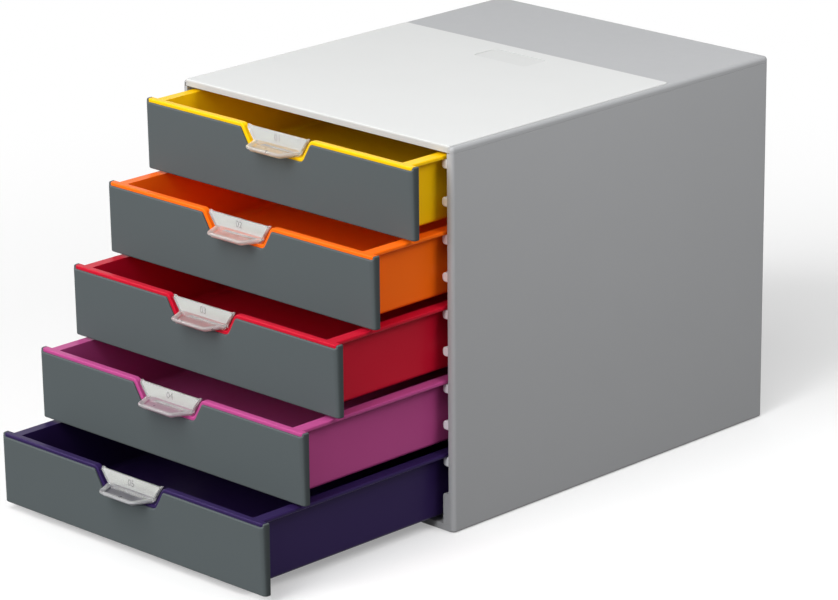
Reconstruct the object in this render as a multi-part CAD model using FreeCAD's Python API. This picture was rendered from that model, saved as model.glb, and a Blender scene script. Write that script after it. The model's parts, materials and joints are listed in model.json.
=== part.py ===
import FreeCAD, Part
import math
import os

# A desktop drawer unit for A4 and C4 papers: an open-fronted grey casing with five coloured trays
# that hang by their side flanges on ribs moulded inside the casing. Each tray carries a dark front
# with a notch, and in the notch a clear label holder that is also the pull.
# Millimetres. +Z is up, +X is right, and the drawers open towards -Y. The origin is the middle of
# the casing's footprint on the desk. The drawers stand open as a staircase, the lowest furthest out.

Vector = FreeCAD.Vector

# Trays
drawer_count = 5
tray_width = 251.0
tray_length = 337.5
tray_height = 51.0
tray_wall = 2.2
tray_floor = 2.4
tray_draft_width = 1.5
tray_corner_radius = 8.0
tray_floor_radius = 3.0
flange_thickness = 3.0
flange_wall_gap = 2.5
flange_edge_radius = 1.0
rest_openings = (32.5, 72.5, 109.5, 144.0, 183.5)
drawer_travel = 250.0

# Drawer fronts
front_drop = 3.2
front_gap = 2.0
front_thickness = 6.5
front_lean_depth = 1.4
front_side_reveal = 0.5
front_end_radius = 4.5
front_foot_radius = 1.2
front_head_radius = 1.0
front_return = 2.4
front_plate = 2.5
lip_thickness = 2.5
lip_setback = 1.5
lip_edge_radius = 0.9
ear_width = 2.5
ear_radius = 1.2
closing_gap = 0.5

# Notch in the front for the label holder
notch_top_half = 35.0
notch_bottom_half = 26.0
notch_depth = 15.0
notch_radius = 4.5

# Label holder and its card
holder_wall = 1.5
window_setback = 2.5
window_top_drop = 0.3
window_foot_gap = 4.8
window_head_gap = 3.0
window_corner_radius = 1.5
scoop_reach = 12.5
scoop_rise = 4.3
scoop_taper = 7.5
scoop_draft_width = 2.0
scoop_corner_radius = 5.0
scoop_floor_radius = 2.5
bead_width = 0.8
bead_height = 2.0
bead_edge_radius = 0.7
clip_half = 18.0
clip_length = 8.0
rail_width = 1.2
rail_foot = 3.5
rail_lip_width = 2.4
rail_lip_thickness = 0.8
card_slot = 0.6
card_thickness = 0.4
card_side_gap = 0.3
card_foot = 5.0
card_head_gap = 0.3

# Runners and stops
rib_reach = 6.8
rib_height = 7.0
rib_tip_radius = 2.5
rib_end_radius = 0.9
rib_setback = 1.5
rib_tray_gap = 2.7
slide_clearance = 0.3
lug_length = 12.0
lug_height = 5.0
lug_wall_gap = 3.5
lug_rear_gap = 3.5
stop_length = 8.0
stop_height = 6.0
stop_clearance = 0.3

# Casing panels
side_wall = 5.0
wall_lift = 0.5
wall_edge_radius = 3.2
wall_foot_radius = 1.5
skirting_reach = 7.0
skirting_height = 24.0
skirting_radius = 2.5
roof_thickness = 5.0
roof_clearance = 2.0
roof_edge_radius = 3.0
rear_wall = 4.0
rear_clearance = 6.0
rear_inset = 3.0
groove_depth = 2.0
groove_clearance = 0.1
base_plate = 3.4
base_rim_height = 1.6
base_rim_width = 10.0
base_setback = 1.5
tray_floor_clearance = 4.2

# Light cover on the front part of the roof, with a bare sunken field near its rear edge
cover_length = 237.0
cover_thickness = 2.6
cover_proud = 0.6
cover_side_margin = 3.0
cover_fit = 0.1
cover_lip_thickness = 2.0
cover_lip_gap = 0.5
cover_corner_radius = 3.0
cover_edge_radius = 0.5
field_width = 54.0
field_length = 25.0
field_rear_margin = 14.0
field_sink = 0.4
field_radius = 4.0

# Pegs, screws and desk pads
peg_radius = 1.5
peg_skin = 0.9
peg_clearance = 0.1
peg_end_margin = 40.0
pegs_per_side = 3
screw_radius = 1.5
screw_length = 16.0
screw_head_radius = 2.6
screw_head_height = 1.7
screw_head_sink = 0.3
screw_cross_length = 3.4
screw_cross_width = 0.7
screw_cross_depth = 0.8
screw_clearance = 0.1
screw_end_margin = 35.0
screws_per_side = 3
pad_radius = 8.0
pad_rim_gap = 4.0

# Sizes that follow from the ones above
front_height = tray_height + front_drop
drawer_pitch = front_height + front_gap
rib_pitch = drawer_pitch / 2
rib_count = 2 * drawer_count - 1
tray_half = tray_width / 2
rib_tip_x = tray_half + rib_tray_gap
wall_inner_x = rib_tip_x + rib_reach
case_half = wall_inner_x + side_wall
front_half = case_half - front_side_reveal
flange_x = wall_inner_x - flange_wall_gap
case_depth = tray_length - closing_gap + rear_clearance + rear_wall + rear_inset
case_front = -case_depth / 2
case_rear = case_depth / 2
rear_panel_front = case_rear - rear_inset - rear_wall
base_top = base_rim_height + base_plate
lowest_rim = base_top + tray_floor_clearance + tray_height
top_rim = lowest_rim + (drawer_count - 1) * drawer_pitch
roof_under = top_rim + roof_clearance
roof_top = roof_under + roof_thickness
first_rib_top = top_rim - flange_thickness - slide_clearance
cover_half = case_half - cover_side_margin
recess_floor = roof_top + cover_proud - cover_thickness
peg_height = recess_floor - roof_under - peg_clearance - peg_skin
window_face_y = window_setback - front_thickness
window_back_y = window_face_y + holder_wall
window_foot_half = notch_bottom_half - window_foot_gap
window_head_half = notch_top_half - window_head_gap
window_height = notch_depth - window_top_drop
scoop_tip_y = -front_thickness - scoop_reach
scoop_rim = scoop_rise - notch_depth
scoop_slope = scoop_taper / (window_back_y - scoop_tip_y)
same = 0.001


def in_xy(z):
    """Map a flat (x, y) drawing to the level z."""
    return lambda a, b: Vector(a, b, z)


def in_xz(y):
    """Map a flat (x, z) drawing to the upright plane at y."""
    return lambda a, b: Vector(a, y, b)


def block(x_range, y_range, z_range):
    """A box between two values on each axis."""
    corner = Vector(x_range[0], y_range[0], z_range[0])
    sides = [high - low for low, high in (x_range, y_range, z_range)]
    return Part.makeBox(sides[0], sides[1], sides[2], corner)


def rod(radius, height, foot):
    """An upright cylinder standing on the point foot."""
    return Part.makeCylinder(radius, height, foot)


def rounded_wire(corners, place):
    """A closed outline whose corners (a, b, radius) are straight runs joined by tangent arcs."""
    points = [Vector(a, b, 0) for a, b, radius in corners]
    joints = []
    for i, here in enumerate(points):
        radius = corners[i][2]
        to_last = (points[i - 1] - here).normalize()
        to_next = (points[(i + 1) % len(points)] - here).normalize()
        half_angle = to_last.getAngle(to_next) / 2
        run = radius / math.tan(half_angle)
        inward = (to_last + to_next).normalize()
        middle = here + inward * (radius / math.sin(half_angle) - radius)
        joints.append((here + to_last * run, middle, here + to_next * run))
    edges = []
    for i, (start, middle, end) in enumerate(joints):
        spots = [place(p.x, p.y) for p in (start, middle, end)]
        if corners[i][2] > 0:
            edges.append(Part.Arc(spots[0], spots[1], spots[2]).toShape())
        following = joints[(i + 1) % len(joints)][0]
        edges.append(Part.makeLine(spots[2], place(following.x, following.y)))
    return Part.Wire(edges)


def prism(corners, place, travel):
    """The rounded outline, filled and pushed along the vector travel."""
    return Part.Face(rounded_wire(corners, place)).extrude(travel)


def mirrored(shape):
    """The same piece on the other side of the unit."""
    return shape.mirror(Vector(0, 0, 0), Vector(1, 0, 0))


def both_sides(shape):
    """A right-hand piece and its left-hand twin."""
    return [shape, mirrored(shape)]


def round_edges(shape, radius, chosen):
    """Round the edges for which chosen(bound box of the edge) is true."""
    edges = [edge for edge in shape.Edges if chosen(edge.BoundBox)]
    return shape.makeFillet(radius, edges)


def spread(low, high, count):
    """Evenly spaced values from low to high."""
    return [low + (high - low) * i / (count - 1) for i in range(count)]


def near(a, b):
    """Whether two lengths are the same within a thousandth of a millimetre."""
    return abs(a - b) < same


def peg_places():
    """Places along the depth of the pegs that join a side panel and the roof."""
    return spread(case_front + peg_end_margin, case_rear - peg_end_margin, pegs_per_side)


def screw_places():
    """Places of the screws that hold the base under the two skirtings."""
    along = spread(case_front + screw_end_margin, case_rear - screw_end_margin, screws_per_side)
    across = wall_inner_x - skirting_reach / 2
    return [Vector(side * across, y, 0) for y in along for side in (-1, 1)]


def rib(top):
    """One runner rib on the right wall, with a rounded tip and a rounded front end."""
    bottom = top - rib_height
    root = wall_inner_x + side_wall / 2
    tip_radius = min(rib_tip_radius, rib_height / 2 - rib_end_radius)
    corners = [
        (root, bottom, 0),
        (rib_tip_x, bottom, tip_radius),
        (rib_tip_x, top, tip_radius),
        (root, top, 0),
    ]
    front = case_front + rib_setback
    shape = prism(corners, in_xz(front), Vector(0, rear_panel_front - front, 0))
    front_end = lambda box: near(box.YMax, front) and box.XMin < root - same
    return round_edges(shape, rib_end_radius, front_end)


def stop(rib_top):
    """The block under a rib that the tray's lug meets when the drawer is fully out."""
    tray_rear = case_front - closing_gap - drawer_travel + tray_length
    lug_front = tray_rear - lug_rear_gap - lug_length
    top = rib_top - rib_height
    return block(
        (rib_tip_x, wall_inner_x),
        (lug_front - stop_clearance - stop_length, lug_front - stop_clearance),
        (top - stop_height, top),
    )


def side_panel():
    """The right wall with its ribs, stops, skirting, pegs, screw holes and rear groove."""
    wall = block((wall_inner_x, case_half), (case_front, case_rear), (wall_lift, roof_under))
    outer_uprights = lambda box: near(box.XMin, case_half) and box.ZLength > side_wall
    wall = round_edges(wall, wall_edge_radius, outer_uprights)
    outer_foot = lambda box: near(box.ZMax, wall_lift) and not near(box.XMax, wall_inner_x)
    wall = round_edges(wall, wall_foot_radius, outer_foot)
    skirting = block(
        (wall_inner_x - skirting_reach, wall_inner_x),
        (case_front + rib_setback, rear_panel_front),
        (base_top, base_top + skirting_height),
    )
    inner_x = wall_inner_x - skirting_reach
    skirting_head = lambda box: near(box.XMax, inner_x) and near(box.ZMin, base_top + skirting_height)
    skirting = round_edges(skirting, skirting_radius, skirting_head)
    rib_tops = [first_rib_top - i * rib_pitch for i in range(rib_count)]
    additions = [skirting]
    additions += [rib(top) for top in rib_tops]
    additions += [stop(top) for top in rib_tops[::2]]
    peg_x = wall_inner_x + side_wall / 2
    additions += [rod(peg_radius, peg_height, Vector(peg_x, y, roof_under)) for y in peg_places()]
    panel = wall.fuse(additions)
    groove = block(
        (wall_inner_x - groove_depth, wall_inner_x + groove_depth + groove_clearance),
        (rear_panel_front - groove_clearance, rear_panel_front + rear_wall + groove_clearance),
        (base_top, roof_under),
    )
    holes = [
        rod(screw_radius + screw_clearance, screw_length + screw_clearance, place)
        for place in screw_places()
        if place.x > 0
    ]
    return panel.cut([groove] + holes).removeSplitter()


def roof_panel():
    """The flat roof, with a recess for the light cover and sockets for the pegs of the side panels."""
    slab = block((-case_half, case_half), (case_front, case_rear), (roof_under, roof_top))
    slab = round_edges(slab, wall_edge_radius, lambda box: near(box.ZLength, roof_thickness))
    slab = round_edges(slab, roof_edge_radius, lambda box: near(box.ZMin, roof_top))
    recess = prism(cover_outline(cover_fit), in_xy(recess_floor), Vector(0, 0, cover_thickness))
    lip_notch = block(
        (-cover_half - cover_fit, cover_half + cover_fit),
        (case_front, case_front + cover_lip_thickness),
        (roof_under, roof_top),
    )
    peg_x = wall_inner_x + side_wall / 2
    sockets = [
        rod(peg_radius + peg_clearance, peg_height + peg_clearance, Vector(side * peg_x, y, roof_under))
        for y in peg_places()
        for side in (-1, 1)
    ]
    return slab.cut([recess, lip_notch] + sockets).removeSplitter()


def cover_outline(margin):
    """Plan of the light cover, grown by margin at its sides and rear."""
    half = cover_half + margin
    rear = case_front + cover_length + margin
    return [
        (-half, case_front, 0),
        (half, case_front, 0),
        (half, rear, cover_corner_radius),
        (-half, rear, cover_corner_radius),
    ]


def top_cover():
    """The light cover, a thin plate that turns down over the roof's front edge."""
    top = recess_floor + cover_thickness
    plate = prism(cover_outline(0), in_xy(recess_floor), Vector(0, 0, cover_thickness))
    lip = block(
        (-cover_half, cover_half),
        (case_front, case_front + cover_lip_thickness),
        (roof_under + cover_lip_gap, top),
    )
    cover = plate.fuse(lip).removeSplitter()
    upper_edges = lambda box: near(box.ZMin, top) and not near(box.YMax, case_front)
    cover = round_edges(cover, cover_edge_radius, upper_edges)
    front_edge = lambda box: near(box.ZMin, top) and near(box.YMax, case_front)
    cover = round_edges(cover, cover_lip_thickness - cover_edge_radius, front_edge)
    rear = case_front + cover_length - field_rear_margin
    half = field_width / 2
    field = [
        (-half, rear - field_length, field_radius),
        (half, rear - field_length, field_radius),
        (half, rear, field_radius),
        (-half, rear, field_radius),
    ]
    return cover.cut(prism(field, in_xy(top - field_sink), Vector(0, 0, cover_thickness)))


def rear_panel():
    """The back, a flat sheet that slides down the grooves of the two side panels."""
    half = wall_inner_x + groove_depth
    return block((-half, half), (rear_panel_front, rear_panel_front + rear_wall), (base_top, roof_under))


def base_panel():
    """The floor of the casing, standing on a rim around its underside."""
    front = case_front + base_setback
    slab = block((-wall_inner_x, wall_inner_x), (front, case_rear), (0, base_top))
    hollow = block(
        (-wall_inner_x + base_rim_width, wall_inner_x - base_rim_width),
        (front + base_rim_width, case_rear - base_rim_width),
        (0, base_rim_height),
    )
    head_room = screw_head_sink + screw_head_height
    cuts = [hollow]
    for place in screw_places():
        cuts.append(rod(screw_head_radius + screw_clearance, head_room, place))
        cuts.append(rod(screw_radius + screw_clearance, base_top, place))
    return slab.cut(cuts).removeSplitter()


def screw_cross(foot):
    """The two slots of the cross recess in a screw head whose underside is centred on foot."""
    half_long = screw_cross_length / 2
    half_wide = screw_cross_width / 2
    depth = (foot.z, foot.z + screw_cross_depth)
    spans = [(half_long, half_wide), (half_wide, half_long)]
    return [block((foot.x - a, foot.x + a), (foot.y - b, foot.y + b), depth) for a, b in spans]


def base_screws():
    """The screws from below the base into the skirtings, as separate solids."""
    screws = []
    for place in screw_places():
        head_foot = place + Vector(0, 0, screw_head_sink)
        head = rod(screw_head_radius, screw_head_height, head_foot)
        shank = rod(screw_radius, screw_length - screw_head_sink, head_foot)
        screw = head.fuse(shank).removeSplitter()
        screws.append(screw.cut(screw_cross(head_foot)))
    return Part.makeCompound(screws)


def desk_pads():
    """Four rubber discs in the corners of the base's hollow, level with its rim."""
    x = wall_inner_x - base_rim_width - pad_rim_gap - pad_radius
    front = case_front + base_setback + base_rim_width + pad_rim_gap + pad_radius
    rear = case_rear - base_rim_width - pad_rim_gap - pad_radius
    places = [Vector(side * x, y, 0) for y in (front, rear) for side in (-1, 1)]
    return Part.makeCompound([rod(pad_radius, base_rim_height, place) for place in places])


def front_outline(side_inset, top_inset, bottom_inset):
    """The front seen square on, level 0 at its top edge, with the notch kept parallel by top_inset."""
    slope = math.atan2(notch_top_half - notch_bottom_half, notch_depth)
    shift = top_inset * (1 - math.sin(slope)) / math.cos(slope)
    half = front_half - side_inset
    bottom = bottom_inset - front_height
    head = notch_top_half + shift
    foot = notch_bottom_half + shift
    outer = notch_radius - min(top_inset, notch_radius)
    inner = notch_radius + top_inset
    return [
        (-half, bottom, 0),
        (half, bottom, 0),
        (half, -top_inset, 0),
        (head, -top_inset, outer),
        (foot, -notch_depth - top_inset, inner),
        (-foot, -notch_depth - top_inset, inner),
        (-head, -top_inset, outer),
        (-half, -top_inset, 0),
    ]


def front_plan(level, inset):
    """Plan of the front at a level under its top, drawn in by inset: a leaning face, round ends."""
    full = front_thickness - inset
    thickness = full + front_lean_depth * level / front_height
    radius = (front_end_radius - inset) * thickness / full
    half = front_half - inset
    return [(-half, 0, 0), (-half, -thickness, radius), (half, -thickness, radius), (half, 0, 0)]


def front_body(inset):
    """The whole front as a block without its notch, drawn in by inset and rounded at its foot."""
    top_wire = rounded_wire(front_plan(0, inset), in_xy(0))
    foot_wire = rounded_wire(front_plan(-front_height, inset), in_xy(-front_height))
    solid = Part.makeLoft([foot_wire, top_wire], True, True)
    at_foot = lambda box: near(box.ZMax, -front_height) and box.YMin < -same
    return round_edges(solid, front_foot_radius, at_foot)


def below(outline):
    """The room under the top edge of a front's outline."""
    return prism(outline, in_xz(-front_thickness), Vector(0, front_thickness, 0))


def round_head(front, radius, outline):
    """Round the front edge of a front along the top and the notch of its outline."""
    edges = []
    for edge in front.Edges:
        middle = edge.valueAt((edge.FirstParameter + edge.LastParameter) / 2)
        wire = rounded_wire(outline, in_xz(middle.y))
        on_head = wire.distToShape(Part.Vertex(middle))[0] < same and middle.z > -front_height / 2
        if on_head and middle.y < -front_plate:
            edges.append(edge)
    return front.makeFillet(radius, edges)


def fascia_outline():
    """The outline under the lip, with an ear at each end that rises to the lip's top."""
    corners = front_outline(0, lip_thickness, 0)
    ear = front_half - ear_width
    right_ear = [(front_half, 0, 0), (ear, 0, 0), (ear, -lip_thickness, ear_radius)]
    left_ear = [(-a, b, radius) for a, b, radius in reversed(right_ear)]
    return corners[:2] + right_ear + corners[3:-1] + left_ear


def fascia():
    """The dark front: a dished plate whose return flanges go round the tray's front plate."""
    plate = front_body(0).common(below(fascia_outline()))
    return round_head(plate, front_head_radius, fascia_outline()).cut(inner_plate()).removeSplitter()


def inner_plate():
    """The plate of the tray's colour that fills the dish of the fascia."""
    outline = front_outline(front_return, 0, front_return)
    return prism(outline, in_xz(-front_plate), Vector(0, front_plate, 0))


def tray_plan(inset, shrink):
    """Plan of the tray's body, drawn in by inset for the inside and by shrink for the draft."""
    half = tray_half - inset - shrink
    rear = tray_length - inset - shrink
    radius = tray_corner_radius - inset - shrink
    return [(-half, 0, 0), (half, 0, 0), (half, rear, radius), (-half, rear, radius)]


def tapered(inset, foot):
    """A solid with the tray's plan from its rim down to the level foot, narrowing with the draft."""
    shrink = tray_draft_width * -foot / tray_height
    rim_wire = rounded_wire(tray_plan(inset, 0), in_xy(0))
    foot_wire = rounded_wire(tray_plan(inset, shrink), in_xy(foot))
    solid = Part.makeLoft([foot_wire, rim_wire], True, True)
    rear_of_front = lambda box: near(box.ZMax, foot) and box.YMax > same
    return round_edges(solid, tray_floor_radius, rear_of_front)


def tray_lip():
    """The coloured band along the top of the front, following the notch a little behind the face."""
    whole = front_outline(0, 0, 0)
    band = front_body(lip_setback).common(below(whole)).cut(below(fascia_outline()))
    return round_head(band, lip_edge_radius, whole)


def tray():
    """One tray: drafted body, front plate and lip, side flanges and the lugs behind the stops."""
    body = tapered(0, -tray_height).cut(tapered(tray_wall, tray_floor - tray_height))
    flange = block((tray_half - tray_wall / 2, flange_x), (0, tray_length), (-flange_thickness, 0))
    outer_edges = lambda box: near(box.XMin, flange_x) and box.YLength > flange_thickness
    flange = round_edges(flange, flange_edge_radius, outer_edges)
    lug_top = -flange_thickness - rib_height - 2 * slide_clearance
    lug_rear = tray_length - lug_rear_gap
    lug = block(
        (tray_half - tray_wall / 2, wall_inner_x - lug_wall_gap),
        (lug_rear - lug_length, lug_rear),
        (lug_top - lug_height, lug_top),
    )
    additions = [inner_plate(), tray_lip()] + both_sides(flange) + both_sides(lug)
    return body.fuse(additions).removeSplitter()


def window_half_at(height):
    """Half width of the window at a height above the bottom of the notch."""
    return window_foot_half + (window_head_half - window_foot_half) * height / window_height


def on_window(shape):
    """A shape drawn with z above the bottom of the notch and y behind the window, put in its place."""
    return shape.translated(Vector(0, window_back_y, -notch_depth))


def window():
    """The upright pane that stands in the notch."""
    outline = [
        (-window_foot_half, 0, 0),
        (window_foot_half, 0, 0),
        (window_head_half, window_height, window_corner_radius),
        (-window_head_half, window_height, window_corner_radius),
    ]
    return on_window(prism(outline, in_xz(-holder_wall), Vector(0, holder_wall, 0)))


def scoop_plan(back, inset):
    """Plan of the pull scoop at its rim, from the line back to the tip, drawn in by inset."""
    tip_half = window_half_at(scoop_rise) - scoop_taper
    drawn_in = inset * math.hypot(1, scoop_slope)
    front_half_width = tip_half + inset * scoop_slope - drawn_in
    back_half_width = tip_half + (back - scoop_tip_y) * scoop_slope - drawn_in
    front = scoop_tip_y + inset
    radius = scoop_corner_radius - inset
    return [
        (-back_half_width, back, 0),
        (back_half_width, back, 0),
        (front_half_width, front, radius),
        (-front_half_width, front, radius),
    ]


def scoop_bowl(back, inset, floor_radius):
    """A solid with the scoop's plan from its rim down to its floor, narrowing with the draft."""
    foot = inset - notch_depth
    shrink = scoop_draft_width * (scoop_rim - foot) / scoop_rise
    rim_wire = rounded_wire(scoop_plan(back, inset), in_xy(scoop_rim))
    foot_wire = rounded_wire(scoop_plan(back, inset + shrink), in_xy(foot))
    solid = Part.makeLoft([foot_wire, rim_wire], True, True)
    before_back = lambda box: near(box.ZMax, foot) and box.YMin < back - same
    return round_edges(solid, floor_radius, before_back)


def scoop_bead():
    """The thick rounded rim round the three free sides of the scoop."""
    level = in_xy(scoop_rim - bead_height)
    rise = Vector(0, 0, bead_height)
    ring = prism(scoop_plan(window_back_y, -bead_width), level, rise)
    ring = ring.cut(prism(scoop_plan(window_face_y, holder_wall), level, rise))
    flat = lambda box: box.ZLength < same
    return round_edges(ring, bead_edge_radius, lambda box: flat(box) and box.YMin < window_face_y - same)


def pull_scoop():
    """The shallow bowl in front of the window that the fingers pull on."""
    outer = scoop_bowl(window_back_y, 0, scoop_floor_radius)
    inner = scoop_bowl(window_face_y, holder_wall, scoop_floor_radius - holder_wall)
    return outer.cut(inner).fuse(scoop_bead())


def holder_clip():
    """The saddle over the bottom of the notch and the leg that grips behind the front."""
    seat = -notch_depth
    width = (-clip_half, clip_half)
    saddle = block(width, (window_face_y, holder_wall), (seat, seat + holder_wall))
    leg = block(width, (0, holder_wall), (seat - clip_length, seat + holder_wall))
    return saddle.fuse(leg)


def window_strip(width, near_y, far_y):
    """A strip of the given width along the window's right edge, between two depths behind it."""
    low_half = window_half_at(rail_foot)
    outline = [
        (low_half - width, rail_foot, 0),
        (low_half, rail_foot, 0),
        (window_head_half, window_height, 0),
        (window_head_half - width, window_height, 0),
    ]
    return on_window(prism(outline, in_xz(near_y), Vector(0, far_y - near_y, 0)))


def card_guide():
    """The right one of the two rails behind the window that hold the card by its edges."""
    lip_back = card_slot + rail_lip_thickness
    rail = window_strip(rail_width, 0, lip_back)
    return rail.fuse(window_strip(rail_lip_width, card_slot, lip_back))


def label_holder():
    """The clear holder: window, pull scoop, clip and card rails in one moulding."""
    additions = [pull_scoop(), holder_clip()] + both_sides(card_guide())
    return window().fuse(additions).removeSplitter()


def label_card():
    """The plain card that slides down between the rails behind the window."""
    top = window_height - card_head_gap
    foot_half = window_half_at(card_foot) - rail_width - card_side_gap
    top_half = window_half_at(top) - rail_width - card_side_gap
    outline = [
        (-foot_half, card_foot, 0),
        (foot_half, card_foot, 0),
        (top_half, top, 0),
        (-top_half, top, 0),
    ]
    slack = card_slot - card_thickness
    return on_window(prism(outline, in_xz(slack / 2), Vector(0, card_thickness, 0)))


def drawer_place(index):
    """Where a drawer's rim and the back of its front stand, with the drawer as open as it rests."""
    return Vector(
        0,
        case_front - closing_gap - rest_openings[index],
        top_rim - index * drawer_pitch,
    )


def build():
    """Every piece by its name."""
    right_side = side_panel()
    pieces = {
        "side_panel_right": right_side,
        "side_panel_left": mirrored(right_side),
        "roof_panel": roof_panel(),
        "top_cover": top_cover(),
        "rear_panel": rear_panel(),
        "base_panel": base_panel(),
        "base_screws": base_screws(),
        "desk_pads": desk_pads(),
    }
    drawer = {
        "tray": tray(),
        "fascia": fascia(),
        "label_holder": label_holder(),
        "label_card": label_card(),
    }
    for index in range(drawer_count):
        for name, shape in drawer.items():
            pieces[f"{name}_{index + 1}"] = shape.translated(drawer_place(index))
    return pieces


def main():
    """Write each piece to its own STEP file and print what it is."""
    os.makedirs("parts", exist_ok=True)
    for name, shape in build().items():
        shape.exportStep(f"parts/{name}.step")
        print(f"{name}: {len(shape.Solids)} solids, {shape.Volume:.0f} mm3, valid {shape.isValid()}")


main()
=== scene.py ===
# %% [markdown]
# # A desktop drawer unit, dressed in Blender
# The unit is a grey plastic casing with five coloured trays that stand open like a staircase. Its
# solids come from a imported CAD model, and that model is the fixed frame of this lesson: the pieces
# are already at their real size and place, in metres, with Z up and the drawers opening towards -Y.
# We could rebuild every panel as a mesh, but a moulded panel is exactly what a solid modeller makes
# well. So the solids stay, and this script adds what they lack: finishes, print, light and a camera.

# %% Load the frame
import json
import math

import bpy
import numpy as np
from mathutils import Matrix, Vector

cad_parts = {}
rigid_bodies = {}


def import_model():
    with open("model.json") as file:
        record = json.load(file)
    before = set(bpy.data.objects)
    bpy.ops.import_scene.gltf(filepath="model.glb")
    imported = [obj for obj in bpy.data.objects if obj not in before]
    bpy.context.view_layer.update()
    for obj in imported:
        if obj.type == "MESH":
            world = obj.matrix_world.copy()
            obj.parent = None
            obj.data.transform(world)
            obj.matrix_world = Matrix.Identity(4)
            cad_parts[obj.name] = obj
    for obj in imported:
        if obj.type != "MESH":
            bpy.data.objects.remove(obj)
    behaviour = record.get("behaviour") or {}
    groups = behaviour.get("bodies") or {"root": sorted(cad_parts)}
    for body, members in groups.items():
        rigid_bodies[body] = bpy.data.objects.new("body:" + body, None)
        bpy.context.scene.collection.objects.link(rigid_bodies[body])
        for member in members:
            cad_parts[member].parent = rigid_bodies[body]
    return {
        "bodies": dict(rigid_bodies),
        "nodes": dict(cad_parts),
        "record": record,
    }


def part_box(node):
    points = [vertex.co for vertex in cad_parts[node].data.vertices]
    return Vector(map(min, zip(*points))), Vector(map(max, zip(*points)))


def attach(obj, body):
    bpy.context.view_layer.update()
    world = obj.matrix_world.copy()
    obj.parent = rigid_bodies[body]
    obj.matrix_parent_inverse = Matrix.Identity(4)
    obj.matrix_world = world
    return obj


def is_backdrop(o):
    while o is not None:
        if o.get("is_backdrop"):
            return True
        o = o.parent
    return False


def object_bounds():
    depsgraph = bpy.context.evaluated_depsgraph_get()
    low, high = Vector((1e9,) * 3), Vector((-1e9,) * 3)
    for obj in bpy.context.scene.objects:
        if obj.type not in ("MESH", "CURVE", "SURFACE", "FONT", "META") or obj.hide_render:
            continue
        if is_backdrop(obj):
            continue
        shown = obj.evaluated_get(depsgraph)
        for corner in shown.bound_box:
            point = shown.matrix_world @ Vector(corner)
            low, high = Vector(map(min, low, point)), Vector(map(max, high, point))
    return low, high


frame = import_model()
cad_low, cad_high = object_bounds()
scene = bpy.context.scene
millimetre = 0.001
drawers = range(1, 1 + sum(body.startswith("drawer") for body in frame["bodies"]))
print("pieces in the frame:", len(frame["nodes"]), "drawers:", len(drawers))

# %% [markdown]
# ## Writing shader maths as sums
# A procedural finish is a graph of nodes. Made by hand, `1 - mask * 0.3` takes two Math nodes and
# three links, and the idea gets lost among them. So one small class wraps a node's output socket and
# gives it Python's operators: each sign adds its Math node. Its method `node` adds any other node,
# sets it up, and fills its inputs with plain values or with other wrapped sockets.

# %% A socket that can be used in sums
class Wire:
    """An output socket that adds a Math node for each sign, and any other node through node()."""

    def __init__(self, socket):
        self.socket = socket
        self.tree = socket.id_data

    def node(self, kind, settings=None, inputs=None, output=0):
        """A new node of a kind: its settings first, then a value or a link for each input."""
        made = self.tree.nodes.new("ShaderNode" + kind)
        for name, value in (settings or {}).items():
            setattr(made, name, value)
        for name, value in (inputs or {}).items():
            if isinstance(value, Wire):
                self.tree.links.new(value.socket, made.inputs[name])
            else:
                made.inputs[name].default_value = value
        return Wire(made.outputs[output]) if made.outputs else None

    def sum_of(self, operation, first, second):
        """One Math node on two values."""
        return self.node("Math", {"operation": operation}, {0: first, 1: second})

    def __add__(self, other):
        return self.sum_of("ADD", self, other)

    def __sub__(self, other):
        return self.sum_of("SUBTRACT", self, other)

    def __rsub__(self, other):
        return self.sum_of("SUBTRACT", other, self)

    def __mul__(self, other):
        return self.sum_of("MULTIPLY", self, other)

    __radd__ = __add__
    __rmul__ = __mul__


print("a wrapped socket takes part in sums with + - and *")

# %% [markdown]
# ## The start and the end of every finish
# Each finish starts from Object coordinates. Every object here sits at the origin, so they are the
# real place in metres: a grain of 0.4 mm is a noise with 2500 waves to the metre on every piece, big
# or small. Each finish ends in one Principled shader. Blender's Mix node keeps sockets for every kind
# of data, so its two colours and its mixed colour are picked by number.

# %% Opening and closing a finish
mix_first, mix_second = 6, 7
mixed_colour = 2


def new_finish(name):
    """An empty material, and the Object coordinates that its patterns read."""
    material = bpy.data.materials.new(name)
    material.use_nodes = True
    material.node_tree.nodes.clear()
    coordinates = material.node_tree.nodes.new("ShaderNodeTexCoord")
    return material, Wire(coordinates.outputs["Object"])


def close_finish(material, place, inputs):
    """A Principled shader with these inputs, joined to the material's output."""
    surface = place.node("BsdfPrincipled", None, inputs)
    place.node("OutputMaterial", None, {"Surface": surface})
    return material


def noise(place, size, detail=2.0):
    """A cloudy value round a half, with waves of about the given size in metres."""
    return place.node("TexNoise", None, {"Vector": place, "Scale": 1 / size, "Detail": detail})


def above(vector, level):
    """One where a vector's upright part is more than a level, and nought elsewhere."""
    height = vector.node("SeparateXYZ", None, {"Vector": vector}, "Z")
    return height.sum_of("GREATER_THAN", height, level)


def reach(vector, axis):
    """How far a vector reaches either way along an axis: the size of that part of it."""
    along = vector.node("SeparateXYZ", None, {"Vector": vector}, axis)
    return along.node("Math", {"operation": "ABSOLUTE"}, {0: along})


def shade(colour, factor):
    """A colour made lighter or darker by a factor."""
    return tuple(min(1.0, part * factor) for part in colour)


def between(amount, first, second):
    """A colour that runs from the first to the second as amount runs from 0 to 1."""
    colours = {mix_first: (*first, 1), mix_second: (*second, 1)}
    return amount.node("Mix", {"data_type": "RGBA"}, {0: amount, **colours}, mixed_colour)


print("finishes read Object coordinates, in metres")

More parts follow.
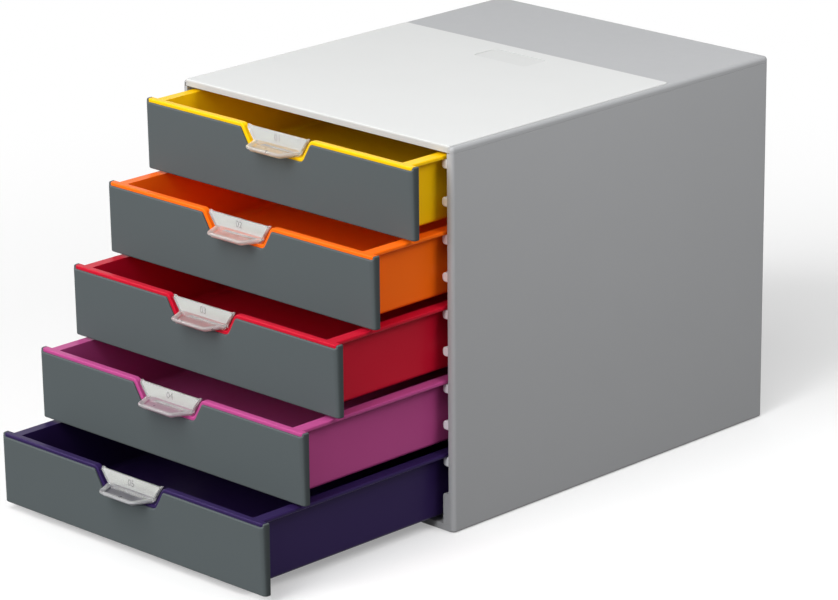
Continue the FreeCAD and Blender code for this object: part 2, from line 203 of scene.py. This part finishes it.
# %% [markdown]
# ## Moulded plastic
# Casing, fronts and trays are injection mouldings. A real mould is spark-eroded, which leaves a fine
# even grain, and it can't have knife edges, so every edge is slightly round and a little more
# polished by hands and dust cloths. The colour of the melt drifts by a percent or two over a panel.
# The grain could be an image, but a noise in Object coordinates has no seams. A Bevel node rounds the
# shading of sharp edges, and how far it turns the normal also tells where an edge is worn. All the
# small changes of tone are summed into one gain, which then scales the colour. Three of them are
# painted light and shade, not colour of the plastic: painted shade in the field recessed into the
# cover, on the cover's front lip and on the ends of the fronts, and a painted highlight on the runner
# ribs. Each only adds its term.

# %% A recipe for moulded plastic
drift_size = 60 * millimetre
drift_gain = 0.03
scuff_size = 9 * millimetre
worn_gain = 0.024
painted_field_shade_gain = 0.048
most_gain = 1.04
uncoloured_gloss = 0.3
grain_roughness = 0.12
scuff_roughness = 0.10
worn_polish = 0.15
upward = 0.5
turn_start = 0.6
turn_end = 0.95


def moulded_plastic(
    name, colour, roughness, mirror, grain_size, grain_depth, edge_radius, sunk_under=-1.0,
    painted_shade_axis="X", painted_turn_shade=0.0, painted_rib_light_within=-1.0, painted_rib_light_above=0.0, painted_rib_light_gain=0.0
):
    """Colour with a slow drift, grain in height and roughness, and edges that are round and worn.

    The gain is 1, less a painted shade where a face looks along the given axis, plus a painted
    highlight over the given height and nearer than the given distance to the middle plane. A face that
    looks up from under sunk_under gets a little painted shade, as in a recessed field."""
    material, place = new_finish(name)
    full_gain = most_gain + painted_rib_light_gain
    gloss_colour = [uncoloured_gloss + (1 - uncoloured_gloss) * part / max(colour) for part in colour]
    drift = noise(place, drift_size, detail=3.0)
    grain = noise(place, grain_size)
    scuff = noise(place, scuff_size, detail=4.0)
    rounded = place.node("Bevel", {"samples": 4}, {"Radius": edge_radius})
    facing = place.node("NewGeometry", output="Normal")
    dot = {"operation": "DOT_PRODUCT"}
    edge = 1 - place.node("VectorMath", dot, {0: rounded, 1: facing}, "Value")
    height = {"Strength": 1.0, "Distance": grain_depth, "Height": grain, "Normal": rounded}
    # Painted shade: an upward face below the level is darkened, as in the recessed field of the cover.
    painted_field_shade = above(facing, upward) * (1 - above(place, sunk_under))
    # Painted shade: faces that look along the axis are darkened, as on the ends of the fronts and the
    # cover's front lip.
    ends = {"Value": reach(facing, painted_shade_axis), "From Min": turn_start, "From Max": turn_end}
    painted_turn_mask = place.node("MapRange", {"interpolation_type": "SMOOTHSTEP"}, ends)
    # Painted highlight: the ribs, standing in from the wall and above the skirting, are made paler.
    away = reach(place, "X")
    painted_rib_light = away.sum_of("LESS_THAN", away, painted_rib_light_within) * above(place, painted_rib_light_above)
    tone = 1 + (drift - 0.5) * drift_gain + edge * worn_gain - painted_field_shade * painted_field_shade_gain
    gain = tone - painted_turn_mask * painted_turn_shade + painted_rib_light * painted_rib_light_gain
    dull = roughness + (grain - 0.5) * grain_roughness + (scuff - 0.5) * scuff_roughness
    inputs = {
        "Base Color": between(gain * (1 / full_gain), (0, 0, 0), shade(colour, full_gain)),
        "Roughness": dull - edge * worn_polish,
        "Specular IOR Level": mirror,
        "Specular Tint": (*gloss_colour, 1),
        "Normal": place.node("Bump", None, height),
    }
    return close_finish(material, place, inputs)


print("moulded plastic changes its tone in waves of", drift_size, "m")

# %% [markdown]
# ## Casing, cover and fronts
# Three grained plastics, each with its own mould: the casing is the coarsest, the pale cover the
# smoothest. The two side panels are casing plastic too, but their ribs carry the trays, so they get a
# finish of their own in which whatever stands in from the wall is paler: a painted highlight for the
# front light on the ribs. The cover's front lip and the ends of the fronts get painted shade.

# %% Grained mouldings
finish = {}
casing_colour = (0.40, 0.405, 0.415)
casing_mould = {
    "roughness": 0.52,
    "mirror": 0.12,
    "grain_size": 0.45 * millimetre,
    "grain_depth": 0.020 * millimetre,
    "edge_radius": 0.7 * millimetre,
}
finish["casing_grey"] = moulded_plastic("casing_grey_plastic", casing_colour, **casing_mould)

rib_reach = 6.4 * millimetre
rib_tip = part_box("side_panel_right")[0].x
skirting_top = 40 * millimetre
# Paler ribs: a painted highlight where the front light falls on them.
runner_finish = moulded_plastic(
    "runner_grey_plastic_painted_light",
    casing_colour,
    painted_rib_light_within=rib_tip + rib_reach,
    painted_rib_light_above=skirting_top,
    painted_rib_light_gain=1.0,
    **casing_mould,
)

cover_colour = (0.625, 0.632, 0.628)
field_depth = 0.2 * millimetre
finish["cover_light"] = moulded_plastic(
    "cover_pale_plastic",
    cover_colour,
    roughness=0.46,
    mirror=0.03,
    grain_size=0.40 * millimetre,
    grain_depth=0.012 * millimetre,
    edge_radius=0.4 * millimetre,
    # The recessed field is darker: painted shade.
    sunk_under=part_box("top_cover")[1].z - field_depth,
    # The cover's front lip is darker: painted shade.
    painted_shade_axis="Y",
    painted_turn_shade=0.24,
)

front_colour = (0.088, 0.103, 0.107)
finish["front_charcoal"] = moulded_plastic(
    "front_charcoal_plastic",
    front_colour,
    roughness=0.50,
    mirror=0.05,
    grain_size=0.40 * millimetre,
    grain_depth=0.020 * millimetre,
    edge_radius=0.5 * millimetre,
    # The ends of the fronts are darker: painted shade.
    painted_turn_shade=0.40,
)
print("grained mouldings:", len(finish))

# %% [markdown]
# ## Five coloured trays
# The trays come out of a polished mould, so they are glossier than the casing and have hardly any
# grain. One recipe serves all five, and only the colour changes from warm at the top to dark violet
# at the bottom.

# %% Tray colours
tray_colours = {
    "tray_yellow": (0.90, 0.53, 0.004),
    "tray_orange": (0.96, 0.150, 0.006),
    "tray_red": (0.52, 0.007, 0.026),
    "tray_magenta": (0.45, 0.066, 0.235),
    "tray_violet": (0.024, 0.012, 0.066),
}
tray_mould = {
    "roughness": 0.34,
    "mirror": 0.10,
    "grain_size": 0.60 * millimetre,
    "grain_depth": 0.006 * millimetre,
    "edge_radius": 0.5 * millimetre,
}
for slot, colour in tray_colours.items():
    finish[slot] = moulded_plastic(slot + "_plastic", colour, **tray_mould)
print("tray colours:", ", ".join(tray_colours))

# %% [markdown]
# ## Clear label holders
# The pull in each front is clear polystyrene. Its look comes from bending the light that passes
# through it, so the shader transmits with the real refractive index, and a shallow wave in its
# surface gives the slight flow marks of a clear moulding. Such a thin moulding is never quite clear:
# hands and dust leave a milky haze, so a share of the light is scattered as from white plastic. The
# bowl of the scoop also shows the colour of its tray, since light from the tray runs along inside its
# walls, and only its thick rim stays white. Tracing that light is slow and noisy, so the bowl's own
# colour takes a share of the tray's: about a third, and up to twice that in front of a dark tray.

# %% Clear plastic
haze_colour = (0.95, 0.955, 0.94)
clear_share = 0.82
polystyrene_index = 1.57
flow_size = 7 * millimetre
flow_depth = 0.05 * millimetre
least_roughness = 0.04
flow_roughness = 0.05
scoop_roughness = 0.22


def clear_plastic(name, bowl_colour, scoop_back, rim_foot):
    """Clear plastic, milky and with flow marks; in front of scoop_back and under rim_foot its colour is
    bowl_colour, painted light from the tray.
    """
    material, place = new_finish(name)
    flow = noise(place, flow_size, detail=1.0)
    depth = place.node("SeparateXYZ", None, {"Vector": place}, "Y")
    scoop = depth.sum_of("LESS_THAN", depth, scoop_back)
    bowl = scoop * (1 - above(place, rim_foot))
    height = {"Strength": 0.4, "Distance": flow_depth, "Height": flow}
    inputs = {
        "Base Color": between(bowl, haze_colour, bowl_colour),
        "Roughness": least_roughness + flow * flow_roughness + scoop * scoop_roughness,
        "Transmission Weight": clear_share,
        "IOR": polystyrene_index,
        "Normal": place.node("Bump", None, height),
    }
    return close_finish(material, place, inputs)


scoop_length = 15.5 * millimetre
rim_drop = 12.2 * millimetre
tray_light_share = 0.35
dark_tray_light_share = 0.45
holder_finish = {}
for drawer, colour in zip(drawers, tray_colours.values()):
    node = f"label_holder_{drawer}"
    # The bowl's colour is painted light from its tray, with a larger share in front of a dark tray.
    share = tray_light_share + dark_tray_light_share * (1 - max(colour))
    painted_tray_light = [1 - share * (1 - part) for part in colour]
    low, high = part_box(node)
    holder_finish[node] = clear_plastic(
        f"holder_clear_plastic_{drawer}", painted_tray_light, low.y + scoop_length, high.z - rim_drop
    )
print("clear finishes:", len(holder_finish))

# %% [markdown]
# ## Card, zinc and rubber
# Three small finishes. The card is paper: two noises of different size make its fibres and its
# cloudy formation. The screws are zinc plated, a metal whose roughness is patchy. The desk pads are
# rubber, nearly black and very rough.

# %% Small finishes
card_colour = (0.53, 0.54, 0.52)
fibre_size = 0.25 * millimetre
fibre_share = 0.6
cloud_size = 4 * millimetre
zinc_colour = (0.60, 0.60, 0.61)
patch_size = 1.2 * millimetre
crystal_size = 0.2 * millimetre
rubber_colour = (0.03, 0.03, 0.03)
bloom_size = 3 * millimetre
pebble_size = 0.5 * millimetre


def paper_card(name, colour):
    """Paper: fine fibres in height and colour over a slower cloudiness."""
    material, place = new_finish(name)
    fibre = noise(place, fibre_size, detail=4.0)
    cloud = noise(place, cloud_size)
    height = {"Strength": 0.5, "Distance": 0.02 * millimetre, "Height": fibre}
    grey = fibre * fibre_share + cloud * (1 - fibre_share)
    inputs = {
        "Base Color": between(grey, shade(colour, 0.95), shade(colour, 1.03)),
        "Roughness": 0.80 + cloud * 0.12,
        "Normal": place.node("Bump", None, height),
    }
    return close_finish(material, place, inputs)


def zinc_plate(name, colour):
    """Zinc plate: metal with a patchy roughness and a fine crystal grain."""
    material, place = new_finish(name)
    patch = noise(place, patch_size, detail=3.0)
    crystal = noise(place, crystal_size)
    height = {"Strength": 0.4, "Distance": 0.02 * millimetre, "Height": crystal}
    inputs = {
        "Base Color": between(patch, shade(colour, 0.90), shade(colour, 1.05)),
        "Metallic": 1.0,
        "Roughness": 0.22 + patch * 0.25,
        "Normal": place.node("Bump", None, height),
    }
    return close_finish(material, place, inputs)


def rubber(name, colour):
    """Rubber: a dull dark face with a pebbled grain and grey bloom."""
    material, place = new_finish(name)
    bloom = noise(place, bloom_size, detail=3.0)
    pebble = noise(place, pebble_size)
    height = {"Strength": 0.7, "Distance": 0.04 * millimetre, "Height": pebble}
    inputs = {
        "Base Color": between(bloom, shade(colour, 0.8), shade(colour, 1.5)),
        "Roughness": 0.75 + bloom * 0.2,
        "Normal": place.node("Bump", None, height),
    }
    return close_finish(material, place, inputs)


finish["card_white"] = paper_card("card_white_paper", card_colour)
finish["screw_steel"] = zinc_plate("screw_zinc", zinc_colour)
finish["pad_rubber"] = rubber("pad_black_rubber", rubber_colour)
print("finishes:", ", ".join(sorted(finish)))

# %% [markdown]
# ## Giving each piece its finish
# The imported record says which material slot each piece uses. Reading the slot from the record, and
# not from a list here, keeps the two in step if a piece is added to the model. Some pieces differ
# within their slot: the five clear holders, each with painted light from its own tray, and the two
# side panels, whose ribs get a painted highlight.

# %% Dress the frame
own_finish = {"side_panel_left": runner_finish, "side_panel_right": runner_finish, **holder_finish}
for part in frame["record"]["subparts"]:
    node = part["node"]
    chosen = own_finish[node] if node in own_finish else finish[part["material_slot"]]
    frame["nodes"][node].data.materials[0] = chosen

# %% [markdown]
# ## Plain numbers on the cards
# Each card carries a small printed number. Ink could be a texture, but a thin mesh stays sharp at any
# distance. A text object is turned into a mesh first, and only then laid on the card, so that its
# object stays at the origin like every other piece: the number's x runs across the upright card, and
# its y runs up it.

# %% Print the numbers
number_size = 7.0 * millimetre
ink_height = 0.03 * millimetre
ink_spread = 0.12 * millimetre
ink_colour = (0.02, 0.02, 0.022)
soak_size = 0.3 * millimetre


def ink(name, colour):
    """Printing ink: dark grey, a little uneven where the paper drinks it."""
    material, place = new_finish(name)
    soak = noise(place, soak_size, detail=3.0)
    inputs = {
        "Base Color": between(soak, shade(colour, 0.8), shade(colour, 1.5)),
        "Roughness": 0.6 + soak * 0.2,
    }
    return close_finish(material, place, inputs)


def flat_text(body, size):
    """The mesh of a short text, its strokes widened by the ink's spread, centred in the xy plane."""
    letters = bpy.data.curves.new("letters", "FONT")
    letters.body = body
    letters.size = size
    letters.offset = ink_spread
    letters.align_x = "CENTER"
    letters.align_y = "CENTER"
    holder = bpy.data.objects.new("letters", letters)
    scene.collection.objects.link(holder)
    view = bpy.context.evaluated_depsgraph_get()
    mesh = bpy.data.meshes.new_from_object(holder.evaluated_get(view))
    bpy.data.objects.remove(holder)
    bpy.data.curves.remove(letters)
    return mesh


number_ink = ink("number_grey_ink", ink_colour)
for drawer in drawers:
    mesh = flat_text(f"{drawer:02d}", number_size)
    drawn = np.empty(len(mesh.vertices) * 3)
    mesh.vertices.foreach_get("co", drawn)
    drawn = drawn.reshape(-1, 3)
    card_low, card_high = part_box(f"label_card_{drawer}")
    middle = np.array([0.0, card_low.y - ink_height, (card_low.z + card_high.z) / 2])
    mesh.vertices.foreach_set("co", (middle + drawn[:, [0, 2, 1]]).ravel())
    mesh.materials.append(number_ink)
    number = bpy.data.objects.new(f"card_number_{drawer}", mesh)
    scene.collection.objects.link(number)
    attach(number, f"drawer_{drawer}")
print("numbers printed:", len(drawers))

# %% [markdown]
# ## Camera
# The photograph looks down at the unit from its front right, from far away with a long lens, so the
# edges hardly converge. The camera is placed by two angles and a distance from a point near the
# unit's middle, and it tips sideways by half a degree.

# %% Camera at the photograph's angle
view_azimuth = math.radians(44.3)
view_elevation = math.radians(17.99)
view_roll = math.radians(-0.45)
view_distance = 3.22693
view_target = Vector((-0.06433, 0.0, 0.09243))
image_width = 838
focal_pixels = 4123.21

back = Vector((
    math.sin(view_azimuth) * math.cos(view_elevation),
    -math.cos(view_azimuth) * math.cos(view_elevation),
    math.sin(view_elevation),
))
level = Vector((math.cos(view_azimuth), math.sin(view_azimuth), 0.0))
upright = back.cross(level)
right = level * math.cos(view_roll) + upright * math.sin(view_roll)
up = upright * math.cos(view_roll) - level * math.sin(view_roll)
lens = bpy.data.cameras.new("camera")
lens.sensor_width = 36.0
lens.lens = focal_pixels / image_width * lens.sensor_width
camera = bpy.data.objects.new("camera", lens)
turn = Matrix((right, up, back)).transposed()
camera.matrix_world = Matrix.Translation(view_target + back * view_distance) @ turn.to_4x4()
scene.collection.objects.link(camera)
scene.camera = camera
print("lens:", round(lens.lens, 1), "mm at", view_distance, "m")

# %% [markdown]
# ## Light
# A product photograph has white all round. Most of its light comes from the front, since every edge
# that faces forward is nearly white and the shadow hides behind the unit. The far lamps are suns here,
# because suns light near and far alike and keep the floor even. A weak one fills in the left side and
# the back, which the photograph doesn't show, and is kept out of reflections, since the roof would
# mirror it to the camera. Two closer lamps are discs, whose light falls off: one over the front makes
# the upper drawers lighter than the lower ones, and one high at the right does the same for the
# casing's side and the trays. One more sun is seen in reflections only: it draws the bright lines
# along the rounded edges. The world shows white to the camera and in reflections, and gives less light
# than that to the object.

# %% Lamps and world
ambient = 0.30
suns = {
    "front": ((0.0, -0.88, 0.47), 0.70, 36.0),
    "key": ((0.22, -0.59, 0.775), 0.22, 25.0),
}
discs = {
    "near": (Vector((-0.10, -0.65, 0.75)), Vector((0.0, -0.20, 0.20)), 0.42, 0.5),
    "side": (Vector((0.85, 0.00, 0.80)), Vector((0.14, -0.05, 0.20)), 0.46, 0.5),
}
fill_towards = (-0.735, 0.67, 0.10)
fill_strength = 0.24
fill_spread = 60.0
gleam_towards = (-0.664, -0.38, 0.645)
gleam_strength = 0.7
gleam_spread = 30.0


def add_lamp(name, light, towards):
    """A lamp whose light comes from the direction towards."""
    lamp = bpy.data.objects.new(name, light)
    lamp.rotation_mode = "QUATERNION"
    lamp.rotation_quaternion = Vector(towards).to_track_quat("Z", "Y")
    scene.collection.objects.link(lamp)
    return lamp


def add_sun(name, towards, strength, spread):
    """A sun that lights a white face square to it to the given strength."""
    sun = bpy.data.lights.new(name, "SUN")
    sun.energy = strength * math.pi
    sun.angle = math.radians(spread)
    return add_lamp(name, sun, towards)


def add_disc(name, place, aim, strength, size):
    """A round lamp that lights a white face square to it, at the point aim, to the given strength."""
    disc = bpy.data.lights.new(name, "AREA")
    disc.shape = "DISK"
    disc.size = size
    disc.energy = strength * math.pi ** 2 * (place - aim).length_squared
    add_lamp(name, disc, place - aim).location = place


for name, (towards, strength, spread) in suns.items():
    add_sun(name, towards, strength, spread)
fill = add_sun("fill", fill_towards, fill_strength, fill_spread)
fill.visible_glossy = False
gleam = add_sun("gleam", gleam_towards, gleam_strength, gleam_spread)
gleam.visible_diffuse = False
gleam.visible_transmission = False
for name, (place, aim, strength, size) in discs.items():
    add_disc(name, place, aim, strength, size)


def seen_directly(tree):
    """One for the rays of the camera, of reflections and of clear pieces, and nought for the rest."""
    ray = tree.nodes.new("ShaderNodeLightPath")
    kinds = ("Is Camera Ray", "Is Glossy Ray", "Is Transmission Ray")
    direct = sum(Wire(ray.outputs[kind]) for kind in kinds)
    return direct.node("Clamp", None, {"Value": direct})


world = bpy.data.worlds.new("studio")
world.use_nodes = True
world.node_tree.nodes.clear()
direct = seen_directly(world.node_tree)
brightness = ambient + direct * (1 - ambient)
light = direct.node("Background", None, {"Color": (1, 1, 1, 1), "Strength": brightness})
direct.node("OutputWorld", None, {"Surface": light})
scene.world = world
print("suns:", len(suns), "discs:", len(discs), "ambient:", ambient)

# %% [markdown]
# ## Floor
# The floor is white paper that runs out of the picture. Painted plain white it would mirror so much
# light that the lowest drawers glow, and its shadows would be deeper than the photograph's. So it has
# two sides: the camera sees part shadow and part white, and the object gets the bounce of a grey. Far
# from the unit the shadow's part fades out, which makes the background even without more light.

# %% White floor with a soft shadow
floor_radius = 6.0
shadow_share = 0.70
shadow_reach = (0.40, 1.00)
bounce_grey = 0.12
paper_white = 0.97
corners = np.array([[-1, -1, 0], [1, -1, 0], [1, 1, 0], [-1, 1, 0]]) * floor_radius
floor_mesh = bpy.data.meshes.new("floor")
floor_mesh.from_pydata(corners.tolist(), [], [[0, 1, 2, 3]])
floor = bpy.data.objects.new("floor", floor_mesh)
paint, place = new_finish("floor_white")
direct = seen_directly(paint.node_tree)
white = direct.node("Emission", None, {"Color": (1, 1, 1, 1), "Strength": 1.0})
paper = direct.node("BsdfDiffuse", None, {"Color": (paper_white,) * 3 + (1,)})
bounce = direct.node("BsdfDiffuse", None, {"Color": (bounce_grey,) * 3 + (1,)})
away = place.node("VectorMath", {"operation": "LENGTH"}, {0: place}, "Value")
fade = {"From Min": shadow_reach[0], "From Max": shadow_reach[1], "To Min": shadow_share, "To Max": 0.0}
share = away.node("MapRange", {"interpolation_type": "SMOOTHSTEP"}, {"Value": away, **fade})
shown = direct.node("MixShader", None, {0: share, 1: white, 2: paper})
surface = direct.node("MixShader", None, {0: direct, 1: bounce, 2: shown})
direct.node("OutputMaterial", None, {"Surface": surface})
floor_mesh.materials.append(paint)
scene.collection.objects.link(floor)
floor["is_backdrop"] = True
scene.view_settings.view_transform = "Standard"
print("floor bounce:", bounce_grey, "shadow share:", shadow_share)

# %% [markdown]
# Nothing that was added may grow the object. The box of the CAD model and the box of the dressed
# model are compared here, and the largest change between them is printed.

# %% Compare both boxes and finish
shown_low, shown_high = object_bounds()
change = max((shown_low - cad_low).length, (shown_high - cad_high).length)
print("largest change of the box, mm:", change / millimetre)
